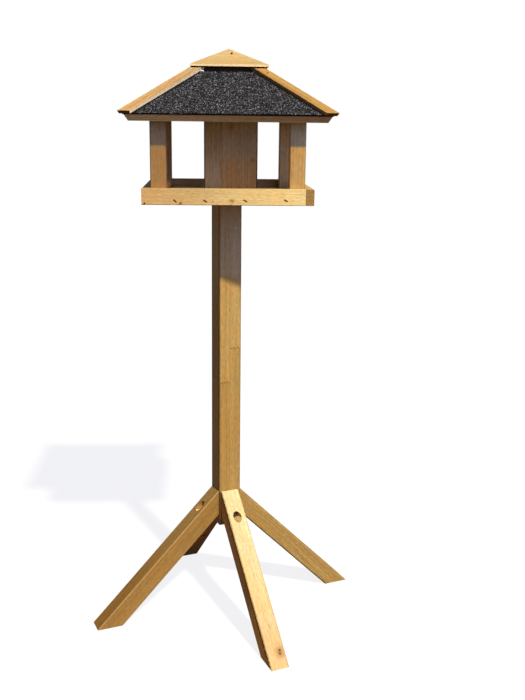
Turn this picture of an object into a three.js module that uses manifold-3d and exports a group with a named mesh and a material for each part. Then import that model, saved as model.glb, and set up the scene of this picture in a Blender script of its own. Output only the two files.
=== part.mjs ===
// Bird table: a square tray under a hipped roof, with a seed silo in its middle, on a post with
// four splayed legs. Millimetres, +Z up, the origin on the ground under the post's axis.
import * as THREE from 'three';
import { ConvexGeometry } from 'three/addons/geometries/ConvexGeometry.js';
import { mergeVertices } from 'three/addons/utils/BufferGeometryUtils.js';
import Module from 'manifold-3d';

const wasm = await Module();
wasm.setup();

// Driving dimensions of the stand
const postSide = 54;
const postFoot = 223; // underside of the post above the ground
const trayHeight = 1020.5; // underside of the tray above the ground
const legSide = 44;
const legTop = 311; // where a leg's outer face meets the post
const legLean = THREE.MathUtils.degToRad(45); // from upright
const standTurn = THREE.MathUtils.degToRad(20.4); // the stand's turn under the house
const lowScrewDrop = 50; // from a leg's top to the lag screws of the front and rear legs
const highScrewDrop = 41; // to the lag screws of the side legs, clear of the other two
const screwWall = 23; // wood between a leg's screw seat and the post
const counterboreDiameter = 21;

// Driving dimensions of the tray
const trayWidth = 366; // over the boards
const trayBoardThickness = 18;
const trayBoardHeight = 34.6;
const floorThickness = 16;

// Driving dimensions of the house
const cornerPostSide = 34;
const siloWidth = 119; // over the boards
const siloBoardThickness = 18;
const siloShift = 8; // the silo stands this far right of the middle
const seedSlotWidth = 54;
const seedSlotHeight = 10;

// Driving dimensions of the roof
const roofHalfWidth = 214; // to the upper edge of the eaves
const eavesRise = 185.5; // from the tray's underside to the upper edge of the eaves
const roofPitch = THREE.MathUtils.degToRad(33);
const panelThickness = 16;
const mouthClearance = 1.5; // between the silo's right side and the edge of the roof's mouth
const feltThickness = 4;
const feltOverhang = 1.8; // past the eaves, along the slope
const feltSetback = 1; // bare wood along the felt's upper edge
const mouldingThickness = 7;
const mouldingFlange = 16.5; // each side of the hip, along the felt
const mouldingOverhang = 6; // past the eaves
const capCover = 15.7; // a centred cap reaches this far past the mouth's edges
const capShift = 4; // the cap lies this far right of the middle
const capEdge = 4.5; // upright edge under the cap's slopes
const capRise = 41.9; // from the cap's underside to its point
const capLap = 2.2; // how far in from a centred cap's sides the mouldings' level ends begin
const capGap = 3.2; // over the mouldings' level ends; the cap lies on the silo
const plugHeight = 18;
const plugClearance = 2.5; // between the plug and the silo's walls

// Driving dimensions of the fasteners
const lagDiameter = 8;
const lagHeadAcrossFlats = 13;
const lagHeadHeight = 5.3;
const legLagLength = 46;
const houseLagLength = 80;
const lagTip = 6;
const washerThickness = 1.6;
const legWasherDiameter = 19;
const houseWasherDiameter = 24;
const woodScrewDiameter = 4;
const woodScrewHead = 8;
const woodScrewHeadDepth = 2.4;
const woodScrewLength = 45;
const woodScrewTip = 5;

// Fits
const arris = 1.2; // planed edges are eased by this much
const joint = 0.3; // between two pieces that bear on each other
const boreClearance = 0.5; // all round a screw
const overrun = 10; // how far a cutting solid runs past what it cuts
const roundSides = 16;
const hexSides = 6;
const squareSides = 4;

const quarter = Math.PI / 2;
const sideNames = ['front', 'right', 'rear', 'left'];
const cornerNames = ['front_right', 'rear_right', 'rear_left', 'front_left'];

// Worked-out sizes shared by several pieces
const trayInnerHalf = trayWidth / 2 - trayBoardThickness;
const cornerPostCentre = trayInnerHalf - joint - cornerPostSide / 2;
const siloInnerWidth = siloWidth - 2 * siloBoardThickness;
const siloFoot = floorThickness + joint;
const siloBoardCentre = (siloWidth - siloBoardThickness) / 2;
const siloScrewReach = (seedSlotWidth + siloWidth) / 4; // the middle of a board's foot
const roofMouthHalfWidth = siloWidth / 2 + siloShift + mouthClearance; // a square around the silo
const capWidth = 2 * (roofMouthHalfWidth + capCover);
const postFace = postSide / 2 + joint;
const screwSeat = postFace + screwWall;
const washerSeat = joint + washerThickness + joint; // a washer with its two bearing faces
const pitchSine = Math.sin(roofPitch);
const pitchCosine = Math.cos(roofPitch);
const feltTop = joint + feltThickness;
const panelRun = (roofHalfWidth - panelThickness * pitchSine - roofMouthHalfWidth) / pitchCosine;

const materials = {
  post: wood('#c59a5c', 0.72),
  leg: wood('#e3c384', 0.7),
  board: wood('#dcb676', 0.7),
  silo: wood('#a98255', 0.78),
  roof: wood('#c99a5f', 0.76),
  felt: new THREE.MeshStandardMaterial({ color: '#45464a', roughness: 0.95, metalness: 0 }),
  steel: new THREE.MeshStandardMaterial({ color: '#b4b6b8', roughness: 0.38, metalness: 1 }),
};

function wood(color, roughness) {
  return new THREE.MeshStandardMaterial({ color, roughness, metalness: 0 });
}

// A closed geometry as a solid that can be joined and cut
function toSolid(geometry) {
  const bare = geometry.clone();
  bare.deleteAttribute('normal');
  bare.deleteAttribute('uv');
  const merged = mergeVertices(bare);
  const corners = Array.from(merged.index.array);
  const kept = [];
  for (let i = 0; i < corners.length; i += 3) {
    const [a, b, c] = corners.slice(i, i + 3);
    if (a !== b && b !== c && c !== a) kept.push(a, b, c);
  }
  const vertProperties = new Float32Array(merged.attributes.position.array);
  const triVerts = new Uint32Array(kept);
  return new wasm.Manifold(new wasm.Mesh({ numProp: 3, vertProperties, triVerts }));
}

// A solid as a flat-shaded geometry
function toGeometry(solid) {
  const cut = solid.getMesh();
  const indexed = new THREE.BufferGeometry();
  indexed.setAttribute('position', new THREE.BufferAttribute(cut.vertProperties, 3));
  indexed.setIndex(new THREE.BufferAttribute(cut.triVerts, 1));
  const flat = indexed.toNonIndexed();
  flat.computeVertexNormals();
  return flat;
}

function cutAway(geometry, tools) {
  return toGeometry(tools.reduce((rest, tool) => rest.subtract(toSolid(tool)), toSolid(geometry)));
}

function named(name, geometry, material) {
  const mesh = new THREE.Mesh(geometry, material);
  mesh.name = name;
  return mesh;
}

// A planed bar along +Z from the origin, its long edges eased
function planedBar(width, depth, length) {
  const x = width / 2;
  const y = depth / 2;
  const section = new THREE.Shape([
    new THREE.Vector2(x - arris, -y),
    new THREE.Vector2(x, arris - y),
    new THREE.Vector2(x, y - arris),
    new THREE.Vector2(x - arris, y),
    new THREE.Vector2(arris - x, y),
    new THREE.Vector2(-x, y - arris),
    new THREE.Vector2(-x, arris - y),
    new THREE.Vector2(arris - x, -y),
  ]);
  return new THREE.ExtrudeGeometry(section, { depth: length, bevelEnabled: false });
}

// A solid turned about +Z from a half profile of [radius, height] pairs
function turned(profile, sides = roundSides) {
  const points = profile.map(([radius, height]) => new THREE.Vector2(radius, height));
  return new THREE.LatheGeometry(points, sides).rotateX(quarter);
}

// Lag screw: the underside of its hexagon head at the origin, its shank pointing down
function lagScrew(length) {
  const radius = lagDiameter / 2;
  const shank = turned([
    [0, -length],
    [radius, lagTip - length],
    [radius, lagHeadHeight / 2],
    [0, lagHeadHeight / 2],
  ]);
  const corner = lagHeadAcrossFlats / 2 / Math.cos(Math.PI / hexSides);
  const head = turned([[0, 0], [corner, 0], [corner, lagHeadHeight], [0, lagHeadHeight]], hexSides);
  return toGeometry(toSolid(head).add(toSolid(shank)));
}

// The hole of a lag screw, from above the origin down past its tip
function lagBore(length) {
  const radius = lagDiameter / 2 + boreClearance;
  return turned([[0, -length - joint], [radius, -length - joint], [radius, overrun], [0, overrun]]);
}

function washer(diameter) {
  const inner = lagDiameter / 2 + boreClearance;
  const outer = diameter / 2;
  return turned([
    [inner, 0],
    [outer, 0],
    [outer, washerThickness],
    [inner, washerThickness],
    [inner, 0],
  ]);
}

// Countersunk wood screw pointing up from the origin, its flat head at the bottom; grown by the
// clearance, it is the screw's own hole
function woodScrew(clearance) {
  const head = woodScrewHead / 2 + clearance;
  const shank = woodScrewDiameter / 2 + clearance;
  const top = woodScrewLength + clearance;
  return turned([
    [0, -clearance],
    [head, -clearance],
    [shank, woodScrewHeadDepth],
    [shank, top - woodScrewTip],
    [0, top],
  ]);
}

// Post: a planed bar with pilot holes for the four leg screws and for the house's screw
function postGeometry() {
  const top = trayHeight - joint;
  const bar = planedBar(postSide, postSide, top - postFoot).translate(0, 0, postFoot);
  const houseBore = lagBore(houseLagLength).translate(0, 0, trayHeight + floorThickness + washerSeat);
  const legBores = sideNames.map((name, side) => {
    const bore = lagBore(legLagLength).rotateY(quarter);
    bore.translate(screwSeat + washerSeat, 0, legScrewHeight(side));
    return bore.rotateZ(side * quarter);
  });
  return cutAway(bar, [houseBore, ...legBores]);
}

function legScrewHeight(side) {
  return legTop - (side % 2 === 0 ? lowScrewDrop : highScrewDrop);
}

// Leg leaning out along +X: a planed bar sawn upright against the post and level on the ground,
// with a level counterbore for its lag screw
function legGeometry(screwHeight) {
  const outerLength = legTop / Math.cos(legLean);
  const bar = planedBar(legSide, legSide, outerLength + 2 * overrun + legSide);
  bar.translate(-legSide / 2, 0, -outerLength - overrun - legSide);
  bar.rotateY(-legLean).translate(postFace, 0, legTop);
  const reach = legTop * Math.tan(legLean) + overrun;
  const height = legTop + overrun;
  const room = new THREE.BoxGeometry(reach, legSide + overrun, height);
  room.translate(postFace + reach / 2, 0, height / 2);
  const pocket = turned([
    [0, 0],
    [counterboreDiameter / 2, 0],
    [counterboreDiameter / 2, legTop],
    [0, legTop],
  ]);
  pocket.rotateY(quarter).translate(screwSeat, 0, screwHeight);
  const bore = lagBore(legLagLength).rotateY(quarter).translate(screwSeat + washerSeat, 0, screwHeight);
  return cutAway(toGeometry(toSolid(bar).intersect(toSolid(room))), [pocket, bore]);
}

function legWithScrew(name, side) {
  const height = legScrewHeight(side);
  const group = new THREE.Group();
  const ring = named(`leg_washer_${name}`, washer(legWasherDiameter), materials.steel);
  ring.rotation.y = quarter;
  ring.position.set(screwSeat + joint, 0, height);
  const screw = named(`leg_screw_${name}`, lagScrew(legLagLength), materials.steel);
  screw.rotation.y = quarter;
  screw.position.set(screwSeat + washerSeat, 0, height);
  group.add(named(`leg_${name}`, legGeometry(height), materials.leg), ring, screw);
  group.rotation.z = (side - 1) * quarter;
  return group;
}

// The stand: post, legs and the screw that the house turns on
function stand() {
  const group = new THREE.Group();
  const post = named('post', postGeometry(), materials.post);
  post.rotation.z = -quarter;
  const ring = named('house_washer', washer(houseWasherDiameter), materials.steel);
  ring.position.z = trayHeight + floorThickness + joint;
  const screw = named('house_screw', lagScrew(houseLagLength), materials.steel);
  screw.position.z = trayHeight + floorThickness + washerSeat;
  group.add(post, ...sideNames.map(legWithScrew), ring, screw);
  group.rotation.z = standTurn;
  return group;
}

// The places of the silo's four screws, under the feet of its front and rear boards
function siloScrewPlaces() {
  const places = [];
  for (const x of [-siloScrewReach, siloScrewReach]) {
    for (const y of [-siloBoardCentre, siloBoardCentre]) places.push([x + siloShift, y]);
  }
  return places;
}

function cornerPlaces() {
  return [[1, -1], [1, 1], [-1, 1], [-1, -1]].map(([x, y]) => [x * cornerPostCentre, y * cornerPostCentre]);
}

// Tray floor between the boards, drilled for the screws of the corner posts, silo and house
function trayFloorGeometry() {
  const width = 2 * (trayInnerHalf - joint);
  const board = new THREE.BoxGeometry(width, width, floorThickness).translate(0, 0, floorThickness / 2);
  const holes = [...cornerPlaces(), ...siloScrewPlaces()].map(([x, y]) =>
    woodScrew(boreClearance).translate(x, y, 0));
  const pivot = lagBore(houseLagLength).translate(0, 0, floorThickness);
  return cutAway(board, [...holes, pivot]);
}

// Tray board on the front side; each board laps the end of the next one
function trayBoardGeometry() {
  const length = trayWidth - trayBoardThickness - joint;
  const bar = planedBar(trayBoardHeight, trayBoardThickness, length).rotateY(quarter);
  const middle = (trayBoardThickness - trayWidth) / 2;
  return bar.translate(-trayWidth / 2, middle, trayBoardHeight / 2);
}

// Height above the tray's underside of a plane that lies a distance over the roof panels' upper
// faces, at a distance out from the middle
function roofHeight(out, over) {
  return eavesRise + (roofHalfWidth - out) * Math.tan(roofPitch) + over / pitchCosine;
}

// Corner post: a planed bar whose top is cut to the two slopes that meet over it
function cornerPostGeometry([x, y]) {
  const foot = floorThickness + joint;
  const point = roofHeight(0, -panelThickness - joint);
  const bar = planedBar(cornerPostSide, cornerPostSide, point - foot).translate(x, y, foot);
  const halfWidth = point / Math.tan(roofPitch);
  const underRoof = new THREE.ConeGeometry(halfWidth * Math.SQRT2, point, squareSides).rotateX(quarter);
  underRoof.rotateZ(Math.PI / 4).translate(0, 0, point / 2);
  const post = toGeometry(toSolid(bar).intersect(toSolid(underRoof)));
  return cutAway(post, [woodScrew(boreClearance).translate(x, y, 0)]);
}

// Silo board standing on the floor, with a seed slot sawn into its foot; its face looks along -Y
function siloBoardGeometry(width) {
  const top = capUnderside() - joint - siloFoot;
  const half = width / 2;
  const slot = seedSlotWidth / 2;
  const outline = new THREE.Shape([
    new THREE.Vector2(-half, 0),
    new THREE.Vector2(-slot, 0),
    new THREE.Vector2(-slot, seedSlotHeight),
    new THREE.Vector2(slot, seedSlotHeight),
    new THREE.Vector2(slot, 0),
    new THREE.Vector2(half, 0),
    new THREE.Vector2(half, top),
    new THREE.Vector2(-half, top),
  ]);
  const board = new THREE.ExtrudeGeometry(outline, { depth: siloBoardThickness, bevelEnabled: false });
  board.translate(0, 0, -siloBoardThickness / 2).rotateX(quarter);
  return board.translate(0, -siloBoardCentre, siloFoot);
}

// Front and rear boards lap the two between them and take the screws from below
function siloBoard(name, side) {
  const lapping = side % 2 === 0;
  const width = lapping ? siloWidth : siloInnerWidth - 2 * joint;
  const bores = [-siloScrewReach, siloScrewReach].map((x) =>
    woodScrew(boreClearance).translate(x, -siloBoardCentre, 0));
  const board = siloBoardGeometry(width);
  const mesh = named(`silo_board_${name}`, lapping ? cutAway(board, bores) : board, materials.silo);
  mesh.rotation.z = side * quarter;
  mesh.position.x = siloShift;
  return mesh;
}

// A roof layer over the front slope, mitred along both hips and cut square to the slope: it runs
// from low to high up the slope, and from under to over square to it
function roofLayer(low, high, under, over) {
  const points = [];
  for (const up of [low, high]) {
    for (const lift of [under, over]) {
      const out = roofHalfWidth - up * pitchCosine + lift * pitchSine;
      const height = eavesRise + up * pitchSine + lift * pitchCosine;
      const hip = out - joint / 2;
      points.push(new THREE.Vector3(-hip, -out, height), new THREE.Vector3(hip, -out, height));
    }
  }
  return new ConvexGeometry(points);
}

// The hip of the front and right slopes, as seen from the moulding that covers it
function hipFrame() {
  const across = new THREE.Vector3(-Math.SQRT1_2, -Math.SQRT1_2, 0);
  const up = new THREE.Vector3(-pitchCosine, pitchCosine, pitchSine).normalize();
  const over = up.clone().cross(across);
  const fall = Math.acos(pitchCosine ** 2) / 2; // of each slope away from the hip
  return { across, up, over, fall };
}

// Where the hip of a plane over the panels lies when its corner is a distance out
function hipPoint(out, over) {
  return new THREE.Vector3(out, -out, roofHeight(out, over));
}

// The height at which the mouldings' upper ends are sawn level
function mouldingTop() {
  return roofHeight(capWidth / 2 - capLap, feltTop + joint + mouldingThickness);
}

function capUnderside() {
  return mouldingTop() + capGap;
}

// What the mouldings are trimmed to: square to both slopes just past the eaves, and level under
// the cap
function mouldingRoom() {
  const halfWidthAt = (height) =>
    roofHalfWidth + mouldingOverhang / pitchCosine + (height - eavesRise) * Math.tan(roofPitch);
  const top = mouldingTop();
  const radii = [halfWidthAt(top), halfWidthAt(0)].map((half) => half * Math.SQRT2);
  const room = new THREE.CylinderGeometry(...radii, top, squareSides).rotateX(quarter);
  return room.rotateZ(Math.PI / 4).translate(0, 0, top / 2);
}

// Hip moulding: an angle of even thickness that sits astride the hip, from past the eaves to where
// the level cut runs it out over the mouth's edge
function hipMoulding(name, corner) {
  const { across, up, over, fall } = hipFrame();
  const under = feltTop + joint;
  const ridge = mouldingThickness / Math.cos(fall);
  const edge = new THREE.Vector2(Math.cos(fall), -Math.sin(fall)).multiplyScalar(mouldingFlange);
  const lip = new THREE.Vector2(Math.sin(fall), Math.cos(fall)).multiplyScalar(mouldingThickness).add(edge);
  const section = new THREE.Shape([
    new THREE.Vector2(0, 0),
    edge,
    lip,
    new THREE.Vector2(0, ridge),
    new THREE.Vector2(-lip.x, lip.y),
    new THREE.Vector2(-edge.x, edge.y),
  ]);
  const low = hipPoint(roofHalfWidth + mouldingFlange + mouldingOverhang, under);
  const high = hipPoint(roofMouthHalfWidth - mouldingFlange, under);
  const bar = new THREE.ExtrudeGeometry(section, { depth: low.distanceTo(high), bevelEnabled: false });
  bar.applyMatrix4(new THREE.Matrix4().makeBasis(across, over, up).setPosition(low));
  const moulding = toGeometry(toSolid(bar).intersect(toSolid(mouldingRoom())));
  const mesh = named(`hip_moulding_${name}`, moulding, materials.board);
  mesh.rotation.z = corner * quarter;
  return mesh;
}

// Four copies of a piece about the middle, the first at the front
function around(prefix, geometry, material) {
  return sideNames.map((name, side) => {
    const mesh = named(`${prefix}_${name}`, geometry, material);
    mesh.rotation.z = side * quarter;
    return mesh;
  });
}

function tray() {
  const group = new THREE.Group();
  group.add(named('tray_floor', trayFloorGeometry(), materials.board));
  group.add(...around('tray_board', trayBoardGeometry(), materials.board));
  cornerPlaces().forEach(([x, y], corner) => {
    const screw = named(`post_screw_${cornerNames[corner]}`, woodScrew(0), materials.steel);
    screw.position.set(x, y, 0);
    group.add(screw);
  });
  return group;
}

function silo() {
  const group = new THREE.Group();
  group.add(...sideNames.map(siloBoard));
  siloScrewPlaces().forEach(([x, y], place) => {
    const screw = named(`silo_screw_${place + 1}`, woodScrew(0), materials.steel);
    screw.position.set(x, y, 0);
    group.add(screw);
  });
  return group;
}

function roof() {
  const group = new THREE.Group();
  cornerPlaces().forEach((place, corner) => {
    const name = `corner_post_${cornerNames[corner]}`;
    group.add(named(name, cornerPostGeometry(place), materials.board));
  });
  const panel = roofLayer(0, panelRun, -panelThickness, 0);
  const felt = roofLayer(-feltOverhang, panelRun - feltSetback, joint, feltTop);
  group.add(...around('roof_panel', panel, materials.roof));
  group.add(...around('roof_felt', felt, materials.felt));
  group.add(...cornerNames.map(hipMoulding));
  return group;
}

// The lift-off cap: a low pyramid, and under it the plug that keeps it over the silo
function cap() {
  const corner = (capWidth / 2) * Math.SQRT2;
  const pyramid = turned([[0, 0], [corner, 0], [corner, capEdge], [0, capRise]], squareSides);
  pyramid.rotateZ(Math.PI / 4);
  const plugWidth = siloInnerWidth - 2 * plugClearance;
  const plug = planedBar(plugWidth, plugWidth, plugHeight).translate(0, 0, -plugHeight - joint);
  const plugMesh = named('cap_plug', plug, materials.board);
  plugMesh.position.x = siloShift - capShift;
  const group = new THREE.Group();
  group.add(named('roof_cap', pyramid, materials.board), plugMesh);
  group.position.set(capShift, 0, capUnderside());
  return group;
}

const house = new THREE.Group();
house.add(tray(), silo(), roof(), cap());
house.position.z = trayHeight;

const birdTable = new THREE.Group();
birdTable.add(stand(), house);

export default birdTable;
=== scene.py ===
"""Looks of a wooden bird table: planed and oiled timber, mineral roofing felt, zinc-plated screws,
nails and staples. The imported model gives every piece's place. Lengths are millimetres until they
go into a mesh or the camera, and +Z is up."""

import math

import bpy
import numpy as np
from mathutils import Matrix, Vector


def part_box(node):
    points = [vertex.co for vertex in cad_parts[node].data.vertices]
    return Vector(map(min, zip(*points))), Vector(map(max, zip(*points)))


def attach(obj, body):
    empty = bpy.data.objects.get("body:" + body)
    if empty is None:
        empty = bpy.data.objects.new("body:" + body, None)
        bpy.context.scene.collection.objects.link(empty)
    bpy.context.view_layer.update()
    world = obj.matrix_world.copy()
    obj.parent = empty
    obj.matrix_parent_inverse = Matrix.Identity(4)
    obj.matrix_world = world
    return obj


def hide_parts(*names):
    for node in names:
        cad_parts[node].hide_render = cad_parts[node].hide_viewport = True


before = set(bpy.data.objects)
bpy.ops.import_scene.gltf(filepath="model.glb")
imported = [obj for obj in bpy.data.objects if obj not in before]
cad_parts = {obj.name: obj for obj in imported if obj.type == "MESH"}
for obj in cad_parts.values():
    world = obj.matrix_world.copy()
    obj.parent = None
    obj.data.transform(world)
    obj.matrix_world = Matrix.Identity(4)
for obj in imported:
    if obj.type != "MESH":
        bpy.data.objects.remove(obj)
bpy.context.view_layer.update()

MM = 0.001

# Sizes shared with the model in millimetres, the stand's turn in degrees, the pitch in radians
POST_HALF = 27
LEG_SIDE = 44
LEG_HALF = LEG_SIDE / 2
LEG_TOP = 311
LEG_FACE = 27.3
STAND_TURN = 20.4
TRAY_HEIGHT = 1020.5
TRAY_HALF = 183
CORNER_PLACE = 147.7
CORNER_HALF = 17
SILO_FOOT = 1037
SILO_TOP = 1309
EAVES_HALF = 214
EAVES_RISE = 185.5
ROOF_PITCH = math.radians(33)
PANEL_THICKNESS = 16
MOUTH_HALF = 69
SILO_SHIFT = 8
SILO_HALF = 59.5
JOINT = 0.3
FELT_THICKNESS = 4
FELT_OVERHANG = 1.8
FELT_SETBACK = 1
MOULDING_THICKNESS = 7
MOULDING_FLANGE = 16.5
CAP_HALF = 84.7
CAP_BASE = 1308.4
CAP_EDGE = 4.5
CAP_RISE = 41.9
CAP_NAIL = (10.0, -29.3)

UP = Vector((0, 0, 1))
SIDES = {
    "front": Vector((0, -1, 0)),
    "right": Vector((1, 0, 0)),
    "rear": Vector((0, 1, 0)),
    "left": Vector((-1, 0, 0)),
}
CORNERS = {"front_right": (1, -1), "rear_right": (1, 1), "rear_left": (-1, 1), "front_left": (-1, -1)}

# Tones are linear colours, measured on evenly lit wood
POST_TONE = (0.387, 0.236, 0.056)
LEG_TONES = {
    "front": (0.63, 0.47, 0.187),
    "right": (0.331, 0.197, 0.0455),
    "rear": (0.33, 0.15, 0.030),
    "left": (0.284, 0.152, 0.032),
}
BOARD_TONE = (0.592, 0.402, 0.127)
CORNER_TONES = {
    "front_left": (0.277, 0.1565, 0.047),
    "front_right": (0.405, 0.2375, 0.0648),
    "rear_left": (0.47, 0.29, 0.11),
    "rear_right": (0.495, 0.33, 0.113),
}
SILO_TONE = (0.36, 0.243, 0.086)
PANEL_TONE = (0.43, 0.26, 0.090)
MOULDING_TONE = (0.40, 0.235, 0.066)
MOULDING_TONES = {
    "front_left": (0.423, 0.261, 0.0875),
    "front_right": (0.375, 0.211, 0.0515),
    "rear_left": (0.392, 0.2303, 0.06468),
    "rear_right": MOULDING_TONE,
}
CAP_TONE = (0.49, 0.335, 0.113)
# Raw sawn wood, as pale as it goes, which on the mouldings' lit edges is partly painted highlight
RAW_AND_HIGHLIT_TONE = (1.0, 0.74, 0.35)
BORE_TONE = (0.80, 0.54, 0.24)
# Pale wood for a painted highlight on an edge of the left leg and for a pale strip below it
PALE_EDGE_AND_HIGHLIGHT = (0.50, 0.315, 0.105)
# Dark brown for stains, and for painted shade along the silo's rim and on the post beside the front leg
STAIN_AND_SHADE = (0.035, 0.016, 0.007)
# Rust brown; round the staples it also stands for the painted shade of the slots their crowns sink into
RUST_AND_SHADE = (0.085, 0.028, 0.001)
PLAIN = (1.0, 1.0, 1.0)


def compass(degrees):
    """A level unit vector at an angle from +X."""
    angle = math.radians(degrees)
    return Vector((math.cos(angle), math.sin(angle), 0))


LEGS = {
    "front": compass(STAND_TURN - 90),
    "right": compass(STAND_TURN),
    "rear": compass(STAND_TURN + 90),
    "left": compass(STAND_TURN + 180),
}


# Camera, light and floor


def add_camera():
    """The photograph's view: 525 by 700 pixels, with a focal length of 929.73 pixels."""
    photo_height = 700
    focal_pixels = 929.73
    eye = Vector((-42, -2167.9, 1193.9))
    yaw, pitch, roll = (math.radians(a) for a in (-3.412, 13.799, 0.700))
    forward = Vector((-math.sin(yaw) * math.cos(pitch), math.cos(yaw) * math.cos(pitch), -math.sin(pitch)))
    level_right = Vector((math.cos(yaw), math.sin(yaw), 0))
    level_up = level_right.cross(forward)
    right = level_right * math.cos(roll) + level_up * math.sin(roll)
    up = level_up * math.cos(roll) - level_right * math.sin(roll)
    data = bpy.data.cameras.new("photo_camera")
    data.sensor_width = 36
    data.lens = data.sensor_width * focal_pixels / photo_height
    camera = bpy.data.objects.new("photo_camera", data)
    turn = Matrix((right, up, -forward)).transposed().to_4x4()
    camera.matrix_world = Matrix.Translation(eye * MM) @ turn
    bpy.context.scene.collection.objects.link(camera)
    bpy.context.scene.camera = camera


def add_sun():
    """One broad lamp from the upper right in front, a little warm."""
    data = bpy.data.lights.new("key_light", "SUN")
    data.energy = 4.6
    data.color = (1.0, 0.95, 0.87)
    data.angle = math.radians(2.5)
    lamp = bpy.data.objects.new("key_light", data)
    toward = Vector((0.270, -0.606, 0.748))
    lamp.rotation_mode = "QUATERNION"
    lamp.rotation_quaternion = toward.to_track_quat("Z", "Y")
    bpy.context.scene.collection.objects.link(lamp)


# Nodes


class Wire:
    """An output socket of a node. Arithmetic on it adds Math nodes."""

    def __init__(self, graph, socket):
        self.graph = graph
        self.socket = socket

    def __add__(self, other):
        return self.graph.math("ADD", self, other)

    def __radd__(self, other):
        return self.graph.math("ADD", other, self)

    def __sub__(self, other):
        return self.graph.math("SUBTRACT", self, other)

    def __rsub__(self, other):
        return self.graph.math("SUBTRACT", other, self)

    def __mul__(self, other):
        return self.graph.math("MULTIPLY", self, other)

    def __truediv__(self, other):
        return self.graph.math("DIVIDE", self, other)

    def __abs__(self):
        return self.graph.math("ABSOLUTE", self)


class Graph:
    """The nodes of one material or of the world. Functions that add to a graph call it g."""

    def __init__(self, tree):
        self.tree = tree
        tree.nodes.clear()

    def node(self, kind, settings=None, values=None, output=0):
        """Adds a node: its settings first, a ramp's stops among them, then its sockets' values."""
        made = self.tree.nodes.new(kind)
        for name, value in (settings or {}).items():
            if name == "stops":
                ramp = made.color_ramp
                while len(ramp.elements) < len(value):
                    ramp.elements.new(1.0)
                for element, (position, colour) in zip(ramp.elements, value):
                    element.position = position
                    element.color = (*colour, 1)
            else:
                setattr(made, name, value)
        for name, value in (values or {}).items():
            socket = made.inputs[name]
            if isinstance(value, Wire):
                self.tree.links.new(value.socket, socket)
            else:
                socket.default_value = value
        return Wire(self, made.outputs[output]) if made.outputs else None

    def math(self, operation, *values):
        return self.node("ShaderNodeMath", {"operation": operation}, dict(enumerate(values)))

    def vector(self, operation, *values):
        """Vector arithmetic that gives a vector."""
        return self.node("ShaderNodeVectorMath", {"operation": operation}, dict(enumerate(values)))

    def scaled(self, vector, factor):
        values = {"Vector": vector, "Scale": factor}
        return self.node("ShaderNodeVectorMath", {"operation": "SCALE"}, values)

    def measure(self, operation, *values):
        """Vector arithmetic that gives a number: DOT_PRODUCT, LENGTH or DISTANCE."""
        values = dict(enumerate(values))
        return self.node("ShaderNodeVectorMath", {"operation": operation}, values, "Value")

    def dot(self, a, b):
        return self.measure("DOT_PRODUCT", a, b)

    def smooth(self, value, low, high):
        """0 below low, 1 above high, and a smooth step between them."""
        values = {"Value": value, "From Min": low, "From Max": high}
        return self.node("ShaderNodeMapRange", {"interpolation_type": "SMOOTHSTEP"}, values)

    def mix(self, factor, a, b, blend="MIX"):
        """A mix of two colours."""
        settings = {"data_type": "RGBA", "blend_type": blend}
        a, b = (v if isinstance(v, Wire) else (*v, 1) for v in (a, b))
        return self.node("ShaderNodeMix", settings, {0: factor, 6: a, 7: b}, 2)

    def times(self, colour, tint):
        """A colour times another."""
        return self.mix(1.0, colour, tint, "MULTIPLY")

    def noise(self, vector, scale=1.0, detail=2.0, output=0):
        """Noise round 0.5: output 0 is a number and output 1 a colour."""
        values = {"Vector": vector, "Scale": scale, "Detail": detail}
        return self.node("ShaderNodeTexNoise", {}, values, output)

    def grain_noise(self, vector, across, along, detail=2.0, output=0):
        """Noise drawn out along the third axis, by its frequencies across and along."""
        return self.noise(self.vector("MULTIPLY", vector, (across, across, along)), 1.0, detail, output)

    def place(self):
        """The place on the piece, in the model's millimetres."""
        return self.scaled(self.node("ShaderNodeTexCoord", {}, {}, "Object"), 1 / MM)

    def normal(self):
        """The outward direction of the mesh."""
        return self.node("ShaderNodeTexCoord", {}, {}, "Normal")

    def surface(self, values):
        """A Principled surface from its sockets' values."""
        shader = self.node("ShaderNodeBsdfPrincipled", {}, values)
        self.node("ShaderNodeOutputMaterial", {}, {"Surface": shader})


def new_material(name):
    material = bpy.data.materials.new(name)
    material.use_nodes = True
    return material, Graph(material.node_tree)


def seen_ray(g):
    """1 for what the camera sees directly, in a gloss or through glass."""
    rays = ("Is Camera Ray", "Is Glossy Ray", "Is Transmission Ray")
    camera, glossy, passed = (g.node("ShaderNodeLightPath", {}, {}, ray) for ray in rays)
    return g.math("MAXIMUM", g.math("MAXIMUM", camera, glossy), passed)


def light_world():
    """A soft fill, cool and brightest from the front with a little from behind, that looks white
    behind the object."""
    world = bpy.data.worlds.new("studio")
    world.use_nodes = True
    bpy.context.scene.world = world
    g = Graph(world.node_tree)
    seen = seen_ray(g)
    toward = g.node("ShaderNodeTexCoord", {}, {}, "Generated")
    ahead = g.smooth(g.dot(toward, Vector((0.55, -0.83, 0.08))), 0.3, 1.0)
    behind = g.smooth(g.dot(toward, Vector((0.2, 0.98, 0))), 0.2, 1.0)
    colour = g.mix(ahead, g.mix(behind, (0.03, 0.03, 0.03), (0.55, 0.55, 0.57)), (0.90, 1.08, 2.70))
    fill = g.node("ShaderNodeBackground", {}, {"Color": colour, "Strength": 1.0})
    white = g.node("ShaderNodeBackground", {}, {"Color": (1, 1, 1, 1), "Strength": 1.0})
    both = g.node("ShaderNodeMixShader", {}, {0: seen, 1: fill, 2: white})
    g.node("ShaderNodeOutputWorld", {}, {"Surface": both})


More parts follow.
